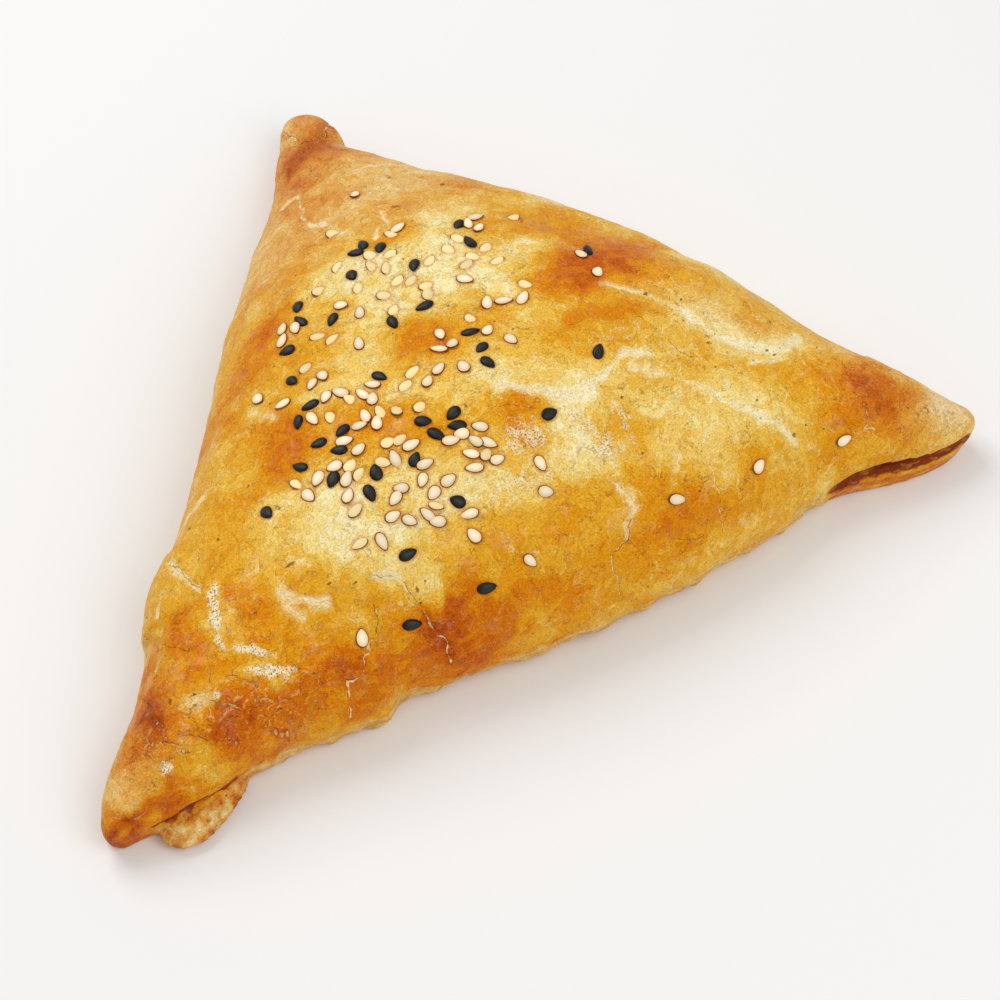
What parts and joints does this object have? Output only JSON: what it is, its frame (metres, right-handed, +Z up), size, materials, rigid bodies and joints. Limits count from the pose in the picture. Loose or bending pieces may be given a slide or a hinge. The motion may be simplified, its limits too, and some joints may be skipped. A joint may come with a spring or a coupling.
{
  "type": "samosa",
  "caption": "Baked triangular pastry parcel with puffed top, tucked edges, a knobbed corner and sesame seeds.",
  "frame": {"origin": "middle of the footprint, on the surface that the parcel rests on", "axes": "+X along the long front edge, from the corner with the tongue to the corner with the slit; +Y towards the knobbed far corner; +Z up"},
  "size_m": [0.1596, 0.1234, 0.033],
  "materials": {
    "crust": "golden-brown baked dough with a glossy egg glaze, pale where it cracked or wasn't glazed",
    "pale_sesame": "toasted hulled sesame seed, satin",
    "black_sesame": "black sesame seed, finely ribbed, satin"
  },
  "bodies": {
    "root": {"pastry": "crust"}
  },
  "joints": []
}
